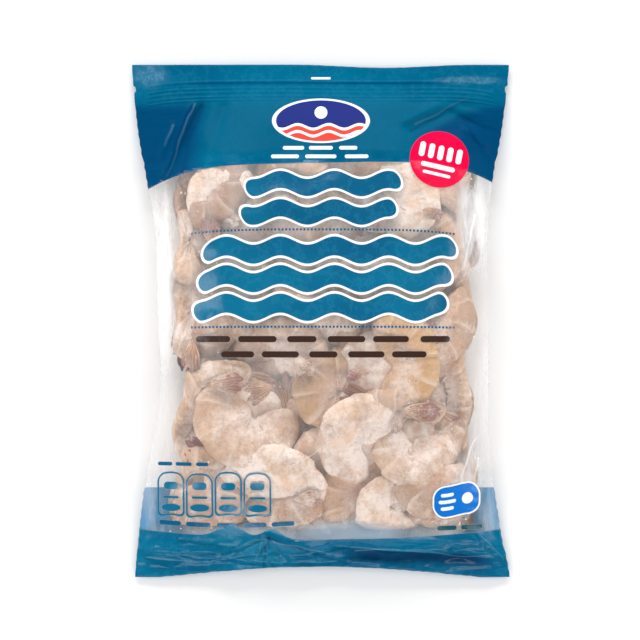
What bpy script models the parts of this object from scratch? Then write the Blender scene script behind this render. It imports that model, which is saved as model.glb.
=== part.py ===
"""Pillow pouch of frozen shrimp, sealed, lying on its back with the window side up.

Metres, +Z up. X runs across the pouch, Y along it with the zipper end at +Y. The origin is
the middle of the pouch on the surface it lies on. The pouch is one closed solid: a flat
header with a heat seal, a hem and a zipper, a filled middle whose film is drawn over the
shrimp that lie against it, and a flat foot with its folds.
"""

import math

import bmesh
import bpy
import numpy as np

MM = 0.001

# Driving sizes of the pouch
LENGTH = 327 * MM
FILLED_HEIGHT = 46 * MM
SHEET = 1.2 * MM             # both films pressed together, drawn thick enough to be a solid
SIDE_SEAL = 7 * MM
HEADER_START = 138 * MM      # above this the two films lie flat together
FOOT_START = -147 * MM       # below this they do too

# Half widths left and right of the middle line, at heights along the pouch
EDGE_AT = np.array([-163, -131, -97, -63, -38, 5, 64, 96, 125, 163]) * MM
LEFT_EDGE = np.array([118.6, 115.5, 110.6, 104.4, 102.2, 103.8, 106.3, 112.0, 117.0, 120.6]) * MM
RIGHT_EDGE = np.array([120.4, 114.0, 108.9, 106.6, 106.6, 106.5, 106.8, 110.2, 115.6, 120.0]) * MM
FOOT_ARCH = 7 * MM           # the foot edge is drawn up in its middle
FOOT_ARCH_HALF = 105 * MM    # half width of that arch, and the height where it has gone
FOOT_ARCH_TOP = -132 * MM
HEADER_SAG = 2 * MM          # the header edge is drawn down a little, from left to right end
HEADER_SAG_LEFT = -20 * MM
HEADER_SAG_RIGHT = 100 * MM
NOTCH_AT = 148 * MM          # tear notch in both edges
NOTCH_DEPTH = 3 * MM

# Height of the flat sheet above the surface, on the middle line and along the side seals
MIDDLE_AT = np.array([-163, -150, -138, 0, 118, 140, 163]) * MM
MIDDLE_RISE = np.array([6, 9, 15, 20, 18, 10, 4]) * MM
SEAM_AT = np.array([-163, -140, -100, -20, 60, 110, 140, 163]) * MM
SEAM_RISE = np.array([2, 3, 8, 13, 11, 6, 3, 2]) * MM

# Hem and zipper ridges of the header, by the height of their crest
HEM_AT = 151.5 * MM
HEM_RISE = 0.8 * MM
ZIPPER_AT = (146.5 * MM, 142.5 * MM)
ZIPPER_RISE = 1.5 * MM
RIDGE_HALF = 1.8 * MM
ZIPPER_END = 111 * MM
SEAL_ROWS = (4 * MM, 8 * MM)  # grid rows of the heat seal, above the hem

# Filled part: where the shrimp reach to, and the part of the back that lies flat below them
FILL_HALF_WIDTH = 101 * MM
FILL_TOP = 134 * MM
FILL_FOOT = -147 * MM
REST_HALF_WIDTH = 84 * MM
REST_TOP = 108 * MM
REST_FOOT = -122 * MM
REST_ROUND = 3.5             # corner roundness of that part's outline

# Grid of the film: columns, rows of the filled part, and the least distance of two rows
COLUMNS = 46
FILL_ROWS = 54
NEAREST_ROWS = 0.4 * MM
RELAX_STEPS = 900
FRONT_PUSH = -0.03 * MM      # how far the front film sinks between the shrimp in one step
BACK_PUSH = -0.05 * MM       # and how far the back film sinks towards the surface

# Shrimp that lie against the front film: middle x and y in mm, heading of the back's middle,
# turn of the whole curl and roll towards its back in degrees, length and depth of the body
# and height over the pillow in mm
SHRIMP = (
    (-57, 85, -130, 235, 10, 68, 24, 1),
    (-29, 109, 10, -200, 20, 74, 23, -2),
    (6, 108, 175, 200, 20, 74, 23, -2),
    (32, 115, 20, -180, 20, 70, 22, -3),
    (43, 80, -80, -225, 10, 82, 26, 2),
    (80, 88, 200, 150, 30, 70, 20, -2),
    (-83, 77, 60, -200, 25, 70, 22, -2),
    (-86, 45, 90, -230, 15, 72, 24, 1),
    (-29, 57, 180, 200, 15, 78, 24, 0),
    (8, 68, 40, -230, 15, 76, 24, 0),
    (-45, 23, -60, 230, 15, 76, 24, -1),
    (-6, 27, 120, -240, 10, 80, 24, 1),
    (30, 34, 30, 220, 15, 80, 24, -1),
    (66, 44, -100, -220, 15, 80, 24, 1),
    (85, 6, -88, -150, 30, 80, 24, 1),
    (-83, 12, 100, -220, 20, 70, 23, -1),
    (-60, -11, 175, 160, 40, 70, 20, -1),
    (1, -6, -10, -220, 20, 76, 24, -1),
    (55, 2, 150, 200, 20, 76, 23, -1),
    (-26, -20, 165, 210, 15, 78, 26, 0),
    (-73, -44, 30, -120, 35, 68, 21, 2),
    (-45, -64, -12, 225, 8, 88, 31, 4),
    (8, -45, -70, 260, 10, 74, 25, 1),
    (50, -26, -92, -200, 5, 92, 21, 3),
    (80, -39, -75, -150, 25, 78, 23, 0),
    (90, -54, -80, -120, 40, 72, 20, -2),
    (49, -54, -5, -60, 50, 60, 17, 1),
    (25, -76, -110, 240, 10, 78, 29, 4),
    (58, -81, 160, -230, 15, 70, 26, 2),
    (88, -86, -80, -190, 20, 70, 24, 1),
    (76, -102, -70, 110, 50, 66, 19, 0),
    (45, -119, 90, -280, 10, 62, 26, 3),
    (11, -113, 80, -180, 25, 70, 23, -2),
    (-1, -87, 60, -200, 25, 56, 20, 0),
    (-27, -106, -20, -190, 12, 86, 28, 4),
    (-87, -71, 95, -210, 20, 72, 24, 0),
    (-80, -106, 30, -220, 12, 80, 26, 2),
    (-46, -125, 170, 160, 20, 72, 22, -1),
    (83, -122, -60, 200, 20, 68, 23, 0),
    (1, -128, -10, 160, 20, 66, 22, -2),
)
BODY_HALF_WIDTH = 8.8 * MM   # across the shell, where a shrimp lies on its side
SHALLOW_SHARE = 0.85         # share of that width in a shallow body
WIDENING_DEPTH = 150 * MM    # a body this deep would be wider by the whole of that width
TAIL_NARROWING = 0.5
HEAD_NARROWING = 0.12
BELLY_SHARE = 0.62           # size of the balls that fill the curl, and how far in they lie
BELLY_PLACE = 0.35
SPINE_POINTS = 26
SLOPE_REACH = 4 * MM         # a shrimp lies along the pillow's slope, measured over this
LARGEST_SLOPE = 0.4
CLEAR_PERCENT = 25           # share of its balls that may stand above the pillow
LUMP_LIMIT = 4.5 * MM        # most that a shrimp stands above the pillow

# Folds of the flat films: start x, y, end x, y, half width and height in mm, down below zero
FOLDS = (
    (-80, 134, -99, 92, 5, -5),
    (-86, 130, -70, 112, 4, 3),
    (70, 121, 99, 132, 5, -4),
    (98, 128, 88, 100, 4, 3),
    (-34, -139, -60, -161, 4, 4),
    (-34, -139, -28, -162, 4, -3),
    (-34, -139, -4, -160, 4, 3),
    (14, -145, 104, -149, 4, -3.5),
    (20, -154, 106, -157, 4, 2.5),
    (-112, -146, -62, -150, 4, 2.5),
    (114, -153, 94, -135, 5, 4),
    (112, -146, 101, -126, 4, -3),
)

# Where the folds grow in: over a border, and past the window at both ends, where the film
# over the first shrimp takes a part of them too
FOLD_BORDER = 12 * MM
FOLD_FOOT = (-120 * MM, -130 * MM)
FOLD_HEADER = (90 * MM, 100 * MM)
CREASE_FOOT = (-94 * MM, -108 * MM)
CREASE_HEADER = (78 * MM, 92 * MM)
CREASE_SHARE = 0.8
TOUCHING = 0.05 * MM         # closer to the surface than this, the back film lies on it

PRINT_COLOUR = (0.004, 0.205, 0.352, 1.0)
WINDOW_COLOUR = (0.62, 0.50, 0.41, 1.0)
PRINT_HEADER = 97 * MM       # the print lies above this height and below the next
PRINT_FOOT = -137 * MM


def smooth_curve(at, values, where):
    """Values between the stations, on a smooth curve through them."""
    slopes = np.gradient(values, at)
    index = np.clip(np.searchsorted(at, where) - 1, 0, len(at) - 2)
    span = at[index + 1] - at[index]
    t = np.clip((where - at[index]) / span, 0, 1)
    start = (1 + 2 * t) * (1 - t) ** 2 * values[index] + t * (1 - t) ** 2 * span * slopes[index]
    end = t * t * (3 - 2 * t) * values[index + 1] - t * t * (1 - t) * span * slopes[index + 1]
    return start + end


def smooth_step(low, high, value):
    t = np.clip((value - low) / (high - low), 0, 1)
    return t * t * (3 - 2 * t)


def row_heights():
    """Rows of the grid along the pouch, closer where the hem and zipper ridges stand."""
    filled = np.linspace(-LENGTH / 2, HEADER_START, FILL_ROWS + 1)
    crests = [NOTCH_AT, HEM_AT]
    for crest in (HEM_AT, *ZIPPER_AT):
        crests += [crest - RIDGE_HALF, crest, crest + RIDGE_HALF]
    seal = [HEM_AT + rise for rise in SEAL_ROWS] + [LENGTH / 2]
    rows = np.unique(np.round(np.concatenate([filled, crests, seal]), 5))
    keep = np.concatenate([[True], np.diff(rows) > NEAREST_ROWS])
    return rows[keep]


def plan():
    """X and Y of every grid point: rows across the pouch, columns along it."""
    across = np.linspace(-1, 1, COLUMNS + 1)
    u, along = np.meshgrid(across, row_heights())
    half = np.where(u < 0, smooth_curve(EDGE_AT, LEFT_EDGE, along),
                    smooth_curve(EDGE_AT, RIGHT_EDGE, along))
    notch = (np.abs(u) > 0.999) & (np.abs(along - NOTCH_AT) < 0.2 * MM)
    x = u * (half - np.where(notch, NOTCH_DEPTH, 0))
    arch = FOOT_ARCH * np.clip(1 - (x / FOOT_ARCH_HALF) ** 2, 0, 1) ** 1.2
    across_sag = np.clip((x - HEADER_SAG_LEFT) / (HEADER_SAG_RIGHT - HEADER_SAG_LEFT), 0, 1)
    sag = HEADER_SAG * np.sin(np.pi * across_sag) ** 2
    y = along + arch * (1 - smooth_step(-LENGTH / 2, FOOT_ARCH_TOP, along))
    y = y - sag * smooth_step(HEM_AT, LENGTH / 2, along)
    return x, y, u, half


def sheet_height(x, y, u):
    """Middle of the two films where they lie together."""
    seam = smooth_curve(SEAM_AT, SEAM_RISE, y)
    middle = smooth_curve(MIDDLE_AT, MIDDLE_RISE, y)
    return seam + (middle - seam) * (1 - u * u)


def pillow_height(x, y):
    """Height that the filled part would have if its contents were smooth."""
    u = np.clip(np.abs(x) / FILL_HALF_WIDTH, 0, 1)
    v = np.clip(np.where(y > 0, y / FILL_TOP, y / FILL_FOOT), 0, 1)
    return FILLED_HEIGHT * (1 - u ** 2.6) ** 0.5 * (1 - v ** 3.2) ** 0.55


def pillow_slope(x, y, reach_x, reach_y):
    """Slope of the pillow along one way, held to what a shrimp can lean."""
    rise = pillow_height(x + reach_x, y + reach_y) - pillow_height(x - reach_x, y - reach_y)
    return np.clip(rise / (2 * (reach_x + reach_y)), -LARGEST_SLOPE, LARGEST_SLOPE)


def shrimp_balls(x, y, heading, curl, roll, length, depth, level):
    """Ball centres and radii that fill one curled shrimp body, under the pillow height."""
    s = np.linspace(0, 1, SPINE_POINTS)
    angle = np.radians(-curl / 2 + curl * s ** 1.1)
    step = length / (SPINE_POINTS - 1)
    local_x = np.concatenate([[0], np.cumsum(np.cos(angle[:-1]) * step)])
    local_y = np.concatenate([[0], np.cumsum(np.sin(angle[:-1]) * step)])
    local_x -= (local_x.max() + local_x.min()) / 2
    local_y -= (local_y.max() + local_y.min()) / 2
    outward = np.stack([np.sin(angle), -np.cos(angle)], 1) * math.copysign(1, curl)
    taper = 1 - TAIL_NARROWING * s ** 2.2 - HEAD_NARROWING * (1 - s) ** 6
    radius = BODY_HALF_WIDTH * taper * (SHALLOW_SHARE + depth / WIDENING_DEPTH)
    inset = np.maximum(depth / 2 * taper - radius, 0)[:, None]
    middle = np.stack([local_x, local_y], 1)
    rings = [middle + outward * inset, middle, middle - outward * inset, middle * BELLY_PLACE]
    flat = np.concatenate(rings)
    radii = np.concatenate([radius, radius, radius, radius * BELLY_SHARE])
    tilt = -math.copysign(math.radians(roll), curl)
    turn = math.radians(heading)
    side, rise = flat[:, 1] * math.cos(tilt), flat[:, 1] * math.sin(tilt)
    ball_x = x + flat[:, 0] * math.cos(turn) - side * math.sin(turn)
    ball_y = y + flat[:, 0] * math.sin(turn) + side * math.cos(turn)
    rise = rise + pillow_slope(x, y, SLOPE_REACH, 0) * (ball_x - x)
    rise = rise + pillow_slope(x, y, 0, SLOPE_REACH) * (ball_y - y)
    room = pillow_height(ball_x, ball_y) - (rise + radii)
    return ball_x, ball_y, rise + np.percentile(room, CLEAR_PERCENT) + level, radii


def contents_height(x, y):
    """Top of the shrimp under each grid point, zero where there is none."""
    top = np.zeros(x.shape)
    for place_x, place_y, *turns, length, depth, level in SHRIMP:
        sizes = (length * MM, depth * MM, level * MM)
        balls = shrimp_balls(place_x * MM, place_y * MM, *turns, *sizes)
        for ball_x, ball_y, ball_z, radius in zip(*balls):
            flat = (x - ball_x) ** 2 + (y - ball_y) ** 2
            inside = np.sqrt(np.maximum(radius ** 2 - flat, 0))
            top = np.maximum(top, np.where(flat < radius ** 2, ball_z + inside, 0))
    return np.minimum(top, pillow_height(x, y) + LUMP_LIMIT)


def relax(height, fixed, lowest, push):
    """Draws a film tight between its fixed points, over whatever lies under it."""
    for _ in range(RELAX_STEPS):
        inner = (height[:-2, 1:-1] + height[2:, 1:-1] + height[1:-1, :-2] + height[1:-1, 2:]) / 4
        moved = np.maximum(inner + push, lowest[1:-1, 1:-1])
        height[1:-1, 1:-1] = np.where(fixed[1:-1, 1:-1], height[1:-1, 1:-1], moved)
    return height


def fold_relief(x, y):
    """Creases and folds of the flat films, as soft ridges along straight lines."""
    relief = np.zeros(x.shape)
    for row in FOLDS:
        x0, y0, x1, y1, half, rise = (value * MM for value in row)
        run_x, run_y = x1 - x0, y1 - y0
        t = ((x - x0) * run_x + (y - y0) * run_y) / (run_x ** 2 + run_y ** 2)
        nearest = np.clip(t, 0, 1)
        away = np.hypot(x - x0 - nearest * run_x, y - y0 - nearest * run_y)
        relief += rise * np.exp(-(away / half) ** 2)
    return relief


def ridge(y, crest):
    return np.clip(1 - np.abs(y - crest) / RIDGE_HALF, 0, 1)


def both_ends(y, foot, header):
    """1 past the foot's and the header's stretch, 0 between them."""
    return smooth_step(*foot, y) + smooth_step(*header, y)


def film_heights():
    """Grid of the pouch with the heights of its front and back films."""
    x, y, u, half = plan()
    sheet = sheet_height(x, y, u)
    edge_room = half - np.abs(x)
    sealed = (edge_room < SIDE_SEAL) | (y > HEADER_START) | (y < FOOT_START)
    relief = fold_relief(x, y) * smooth_step(0, FOLD_BORDER, edge_room)
    flat = sheet + relief * both_ends(y, FOLD_FOOT, FOLD_HEADER)

    zipper = sum(ridge(y, crest) for crest in ZIPPER_AT) * (np.abs(x) < ZIPPER_END)
    ridges = HEM_RISE * ridge(y, HEM_AT) + ZIPPER_RISE * zipper

    lowest_front = flat + SHEET / 2
    contents = np.maximum(lowest_front, contents_height(x, y))
    front = relax(np.where(sealed, lowest_front, contents), sealed, contents, FRONT_PUSH) + ridges
    crease = np.where(sealed, 0, CREASE_SHARE * relief)
    front = front + crease * both_ends(y, CREASE_FOOT, CREASE_HEADER)

    rest_v = np.where(y > 0, y / REST_TOP, y / REST_FOOT)
    rest = (np.abs(x) / REST_HALF_WIDTH) ** REST_ROUND + np.abs(rest_v) ** REST_ROUND < 1
    lowest_back = np.maximum(flat - SHEET / 2, 0)
    back = relax(np.where(rest, 0, lowest_back), sealed | rest, np.zeros(x.shape), BACK_PUSH)
    back = np.where(back < TOUCHING, 0, np.minimum(back, front - SHEET))
    back = np.where(sealed, np.minimum(lowest_back, front - ridges - SHEET), back)
    return x, y, front, np.maximum(back, 0)


def film_grid(mesh, x, y, z, upward):
    """One film as a flat grid with every point moved to its place."""
    rows, columns = x.shape
    made = bmesh.ops.create_grid(mesh, x_segments=columns - 1, y_segments=rows - 1, size=1.0)
    points = made["verts"]
    for point in points:
        column = round((point.co.x + 1) / 2 * (columns - 1))
        row = round((point.co.y + 1) / 2 * (rows - 1))
        point.co = (x[row, column], y[row, column], z[row, column])
    faces = {face for point in points for face in point.link_faces}
    if not upward:
        bmesh.ops.reverse_faces(mesh, faces=list(faces))
    return faces


def border_edges(faces):
    edges = {edge for face in faces for edge in face.edges}
    return [edge for edge in edges if edge.is_boundary]


def film_material(name, colour, roughness):
    material = bpy.data.materials.new(name)
    material.use_nodes = True
    shader = material.node_tree.nodes["Principled BSDF"]
    shader.inputs["Base Color"].default_value = colour
    shader.inputs["Roughness"].default_value = roughness
    shader.inputs["Metallic"].default_value = 0.0
    material.diffuse_color = colour
    return material


def build_pouch(collection):
    x, y, front, back = film_heights()
    mesh = bmesh.new()
    top = film_grid(mesh, x, y, front, True)
    under = film_grid(mesh, x, y, back, False)
    bmesh.ops.bridge_loops(mesh, edges=border_edges(top) + border_edges(under))

    # The part of the back that lies on the surface becomes one flat face
    level = [face for face in under if max(point.co.z for point in face.verts) < 1e-7]
    bmesh.ops.dissolve_faces(mesh, faces=level, use_verts=True)
    bmesh.ops.triangulate(mesh, faces=mesh.faces[:])
    bmesh.ops.recalc_face_normals(mesh, faces=mesh.faces[:])

    data = bpy.data.meshes.new("pouch")
    data.materials.append(film_material("clear window over shrimp", WINDOW_COLOUR, 0.35))
    data.materials.append(film_material("printed film", PRINT_COLOUR, 0.3))
    for face in mesh.faces:
        middle = face.calc_center_median()
        printed = middle.y > PRINT_HEADER or middle.y < PRINT_FOOT
        face.material_index = 1 if printed else 0
        face.smooth = True
    mesh.to_mesh(data)
    mesh.free()
    pouch = bpy.data.objects.new("pouch", data)
    collection.objects.link(pouch)
    return pouch


def main():
    for thing in list(bpy.data.objects):
        bpy.data.objects.remove(thing, do_unlink=True)
    collection = bpy.data.collections.new("bag_of_frozen_shrimp")
    bpy.context.scene.collection.children.link(collection)
    build_pouch(collection)


main()
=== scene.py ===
"""Looks of the pouch of frozen shrimp: printed clear film, shrimp, ice and frost.

Metres in the meshes, millimetres in the tables of places and in the print. The pouch lies on
its back, X across it, Y towards the zipper end, Z up out of the window.
"""

import math
from functools import cached_property, reduce

import bmesh
import bpy
import numpy as np
from mathutils import Matrix, Vector, noise


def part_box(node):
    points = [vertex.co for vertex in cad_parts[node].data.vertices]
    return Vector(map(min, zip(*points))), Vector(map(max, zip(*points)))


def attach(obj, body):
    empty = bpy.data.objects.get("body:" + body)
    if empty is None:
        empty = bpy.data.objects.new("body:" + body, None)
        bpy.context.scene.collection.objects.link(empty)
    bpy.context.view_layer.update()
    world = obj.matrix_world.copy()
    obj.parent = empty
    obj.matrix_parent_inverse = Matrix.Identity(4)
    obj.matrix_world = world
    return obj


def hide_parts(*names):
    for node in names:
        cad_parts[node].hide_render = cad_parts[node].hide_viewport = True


noise.seed_set(7)
from mathutils.bvhtree import BVHTree

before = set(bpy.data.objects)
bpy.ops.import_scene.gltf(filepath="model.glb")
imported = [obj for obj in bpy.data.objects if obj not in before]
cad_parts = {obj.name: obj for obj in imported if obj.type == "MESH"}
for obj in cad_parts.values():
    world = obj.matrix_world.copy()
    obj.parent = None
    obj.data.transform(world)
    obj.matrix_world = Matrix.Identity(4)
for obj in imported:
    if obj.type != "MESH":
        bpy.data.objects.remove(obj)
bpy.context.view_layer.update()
MM = 0.001
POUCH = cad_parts["pouch"]
LOW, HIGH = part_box("pouch")
RANDOM = np.random.RandomState(31)

# Film
FILM_COLUMNS = 182
FILM_ROWS = 248
FILM_GAP = 0.25 * MM            # half of the space left between the two films at a seal
FILM_CLEAR = 0.45 * MM          # from a shrimp to the film that it presses
FILM_SINK = 3.2 * MM            # most that the film sinks under the solid's surface
FRONT, BACK, HEADER, FOOT = 0, 1, 2, 3    # the film's materials: window, back and printed ends
INK_MARGIN = 1.2                # from the print's edge to the faces that are all print, in mm
SHEET = 1.2 * MM                # thickness of the solid where its films lie together
HEADER_FLAT = 138 * MM
FOOT_FLAT = -147 * MM
SIDE_SEAL = 7 * MM
NOTCH_AT = 148 * MM
NOTCH_DEPTH = 3.2 * MM
NOTCH_HALF = 2.2 * MM
SIDE_ROOM = (83 * MM, 15 * MM)    # where the contents start to crowd, and how far they go on
SIDE_SWELL = (0.13, 0.047, 3.2 * MM, 2.0 * MM)    # waves along the sides, per mm, and their sizes
SIDE_SHIFT = 2.2 * MM
TOP_ROOM = (112 * MM, 13 * MM)
FOOT_ROOM = (-122 * MM, 14 * MM)

# Shrimp against the front film: middle x and y in mm, heading of the back's middle, turn of
# the whole curl and roll towards its back in degrees, length and depth of the body and height
# over the rest in mm, then how yellow, how brown and how frosted it is, each from 0 to 1
FRONT_SHRIMP = (
    (-65, 80, -130, 235, 10, 56, 23, 3, 0.4, 0, 0.95),
    (-29, 109, 10, -200, 20, 74, 23, -2, 0.3, 0.2, 0.6),
    (6, 108, 175, 200, 20, 74, 23, -1, 0.3, 0.1, 0.7),
    (32, 115, 20, -180, 20, 70, 22, -3, 0.2, 0.3, 0.5),
    (50, 78, -80, -225, 10, 76, 26, 3, 0.5, 0, 0.85),
    (80, 88, 200, 150, 30, 70, 20, -2, 0.1, 0.5, 0.4),
    (-85, 84, 60, -200, 25, 70, 22, -2, 0.2, 0.95, 0.3),
    (-89, 49, 90, -230, 15, 60, 23, 2, 0.35, 0.1, 0.75),
    (-85, 25, 80, -220, 20, 60, 21, 0, 0.1, 0.7, 0.5),
    (-29, 57, 180, 200, 15, 78, 24, 0, 0.3, 0.2, 0.5),
    (8, 68, 40, -230, 15, 76, 24, 0, 0.3, 0.3, 0.6),
    (-45, 23, -60, 230, 15, 76, 24, -1, 0.2, 0.5, 0.35),
    (-6, 27, 120, -240, 10, 80, 24, 1, 0.4, 0.3, 0.4),
    (30, 34, 30, 220, 15, 80, 24, -1, 0.3, 0.1, 0.6),
    (66, 44, -100, -220, 15, 80, 24, 1, 0.6, 0.2, 0.4),
    (85, 6, -88, -150, 30, 80, 24, 1, 0.8, 0.7, 0.15),
    (-88, 1, 100, -220, 20, 62, 22, 1, 0.3, 0, 0.85),
    (-60, -11, 175, 160, 40, 70, 20, -1, 0.2, 0.5, 0.3),
    (1, -6, -10, -220, 20, 76, 24, 0, 0.1, 0.2, 0.4),
    (55, 2, 150, 200, 20, 76, 23, -1, 0.4, 0.2, 0.4),
    (-26, -20, 165, 210, 15, 78, 26, 0, 0.1, 0.3, 0.35),
    (-73, -44, 30, -120, 35, 68, 21, 2, 0.4, 0.25, 0.45),
    (-45, -64, -12, 225, 8, 88, 31, 4, 0.35, 0.4, 0.4),
    (8, -45, -70, 260, 10, 74, 25, 1, 0.9, 0.6, 0.0),
    (50, -26, -92, -200, 5, 92, 21, 3, 1.0, 0.1, 0.1),
    (80, -39, -75, -150, 25, 78, 23, 1, 0.3, 0.15, 0.45),
    (90, -54, -80, -120, 40, 72, 20, -2, 0.2, 0, 0.5),
    (49, -54, -5, -60, 50, 60, 17, 2, 0.2, 0.5, 0.2),
    (25, -76, -110, 240, 10, 78, 29, 4, 0, 0.1, 0.85),
    (58, -81, 160, -230, 15, 70, 26, 3, 0.2, 0.2, 0.6),
    (88, -86, -80, -190, 20, 70, 24, 1, 0.2, 0.8, 0.2),
    (76, -102, -70, 110, 50, 66, 19, 0, 0.2, 0.2, 0.6),
    (45, -119, 90, -280, 10, 62, 26, 3, 0.5, 0, 0.9),
    (11, -113, 80, -180, 25, 70, 23, -2, 0.2, 0.2, 0.4),
    (-1, -87, 60, -200, 25, 56, 20, 0, 0.1, 0.1, 0.7),
    (-27, -106, -20, -190, 12, 86, 28, 4, 0.45, 0, 1.0),
    (-87, -71, 95, -210, 20, 72, 24, 0, 0.4, 0.2, 0.6),
    (-80, -106, 30, -220, 12, 80, 26, 2, 0.2, 0.2, 0.5),
    (-46, -125, 170, 160, 20, 72, 22, -1, 0.3, 0.1, 0.5),
    (83, -122, -60, 200, 20, 68, 23, 0, 0.3, 0.1, 0.5),
    (1, -128, -10, 160, 20, 66, 22, -2, 0.3, 0.1, 0.5),
    (-10, -65, 60, -200, 15, 58, 22, -3, 0.1, 0.5, 0.3),
    (74, -48, 100, -210, 15, 58, 22, -3, 0.1, 0.5, 0.4),
)
# Tail fans against the film: x and y of the root in mm, heading in degrees, length in mm, how
# far the blades spread and how pink and how frosted they are, each from 0 to 1
SHOWN_FANS = (
    (-73, -40, 4, 25, 0.35, 0.35, 0.5),
    (-30, -42, 196, 19, 0.8, 0.1, 0.5),
    (-17, -21, -58, 18, 0.7, 0.1, 0.7),
    (-81, -12, -100, 20, 0.5, 0.2, 0.5),
    (31, -32, 190, 15, 0.3, 0.8, 0.5),
    (50, -56, -4, 26, 0.35, 0.6, 0.35),
    (50, -60, -112, 12, 0.4, 0.4, 0.7),
    (-17, -113, 4, 18, 0.6, 0.35, 0.8),
    (-68, 46, 96, 19, 0.5, 0.8, 0.3),
    (64, 70, -16, 13, 0.4, 0.6, 0.6),
)
BODY_HALF_WIDTH = 8.8 * MM
LEVEL_STEP = 1.8 * MM           # how much deeper each level of the front shrimp lies
TOP_LEVEL = 3.5                 # level at which a shrimp meets the film
LEAN_REACH = 16 * MM            # how far each way the film's slope over a shrimp is measured
STEEPEST = 0.4
RAY_START = 0.5                 # metres over the surface that a height is read from
EDGE_REACH = 4 * MM             # how far each way the solid's edge is looked for
LUMPS, PITS = 85, 260           # soft lumps and small ones of what is shaken, per metre
FILM_PULL = -0.012 * MM         # what draws the film down at each step
CRUMBS = 420
AROUND = 28
ALONG = 56
SEGMENT_ENDS = np.array([0.0, 0.13, 0.31, 0.49, 0.65, 0.79, 1.0])


# Numbers along curves and over grids

def smooth_step(low, high, value):
    t = np.clip((value - low) / (high - low), 0, 1)
    return t * t * (3 - 2 * t)


def turn_by(angle, x, y):
    return x * math.cos(angle) - y * math.sin(angle), x * math.sin(angle) + y * math.cos(angle)


class HeightMap:
    """Heights of one side of a mesh, read by straight rays and blended between."""

    def __init__(self, tree, side, step=1.5 * MM, spread=12):
        self.xs = np.arange(LOW.x - 2 * step, HIGH.x + 3 * step, step)
        self.ys = np.arange(LOW.y - 2 * step, HIGH.y + 3 * step, step)
        self.step = step
        start, ray = side * RAY_START, Vector((0, 0, -side))
        z = np.full((len(self.ys), len(self.xs)), np.nan)
        for row, y in enumerate(self.ys):
            for column, x in enumerate(self.xs):
                hit = tree.ray_cast(Vector((x, y, start)), ray)[0]
                if hit is not None:
                    z[row, column] = hit.z
        self.z = self.fill(z, spread)

    @staticmethod
    def fill(z, spread):
        """Spreads the nearest heights over the grid points that no ray met, a number of steps."""
        for _ in range(spread):
            empty = np.isnan(z)
            if not empty.any():
                break
            padded = np.pad(z, 1, constant_values=np.nan)
            around = [padded[1:-1, :-2], padded[1:-1, 2:], padded[:-2, 1:-1], padded[2:, 1:-1]]
            known = np.stack(around)
            count = (~np.isnan(known)).sum(0)
            total = np.nansum(known, 0)
            z = np.where(empty & (count > 0), total / np.maximum(count, 1), z)
        return np.nan_to_num(z, nan=np.nanmin(z))

    def soften(self, times):
        """Blends each height with its neighbours."""
        for _ in range(times):
            p = np.pad(self.z, 1, mode="edge")
            self.z = (p[1:-1, 1:-1] * 2 + p[1:-1, :-2] + p[1:-1, 2:] + p[:-2, 1:-1] + p[2:, 1:-1]) / 6
        return self

    def at(self, x, y):
        u = np.clip((np.asarray(x) - self.xs[0]) / self.step, 0, len(self.xs) - 1.001)
        v = np.clip((np.asarray(y) - self.ys[0]) / self.step, 0, len(self.ys) - 1.001)
        column, row = u.astype(int), v.astype(int)
        u, v = u - column, v - row
        low = self.z[row, column] * (1 - u) + self.z[row, column + 1] * u
        high = self.z[row + 1, column] * (1 - u) + self.z[row + 1, column + 1] * u
        return low * (1 - v) + high * v


def tree_of(*objects):
    """One search tree over the meshes of several objects."""
    points, faces = [], []
    for thing in objects:
        offset = len(points)
        points += [vertex.co.copy() for vertex in thing.data.vertices]
        faces += [[offset + index for index in face.vertices] for face in thing.data.polygons]
    return BVHTree.FromPolygons(points, faces)


# Making and joining meshes

def new_object(name, data):
    thing = bpy.data.objects.new(name, data)
    bpy.context.scene.collection.objects.link(thing)
    return thing


def finish_mesh(mesh, name, smooth=True):
    data = bpy.data.meshes.new(name)
    for face in mesh.faces:
        face.smooth = smooth
    mesh.to_mesh(data)
    mesh.free()
    return data


def points_of(data):
    flat = np.zeros(len(data.vertices) * 3)
    data.vertices.foreach_get("co", flat)
    return flat.reshape(-1, 3)


def shaped_copy(template, points, numbers):
    """A copy of a template mesh with its points moved and a number of each kind at each point."""
    data = template.copy()
    data.vertices.foreach_set("co", np.asarray(points, float).ravel())
    for name, values in numbers.items():
        layer = data.attributes.new(name, "FLOAT", "POINT")
        layer.data.foreach_set("value", np.broadcast_to(values, len(data.vertices)).astype(float))
    return data


def face_outwards(data):
    mesh = bmesh.new()
    mesh.from_mesh(data)
    bmesh.ops.recalc_face_normals(mesh, faces=mesh.faces)
    mesh.to_mesh(data)
    mesh.free()


def join_meshes(name, meshes, material):
    """One object from many closed meshes, each facing outwards."""
    things = [new_object(name, data) for data in meshes]
    bpy.ops.object.select_all(action="DESELECT")
    for thing in things:
        thing.select_set(True)
    bpy.context.view_layer.objects.active = things[0]
    if len(things) > 1:
        bpy.ops.object.join()
    joined = bpy.context.view_layer.objects.active
    joined.name = joined.data.name = name
    joined.data.materials.clear()
    joined.data.materials.append(material)
    face_outwards(joined.data)
    return joined


# Shader maths

def maths(operation, turned=False):
    """A method that adds a Math node, with its two operands exchanged where it is turned."""
    def method(self, *others):
        values = (*others, self) if turned else (self, *others)
        return self.net.add("ShaderNodeMath", {"operation": operation}, values)
    return method


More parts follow.
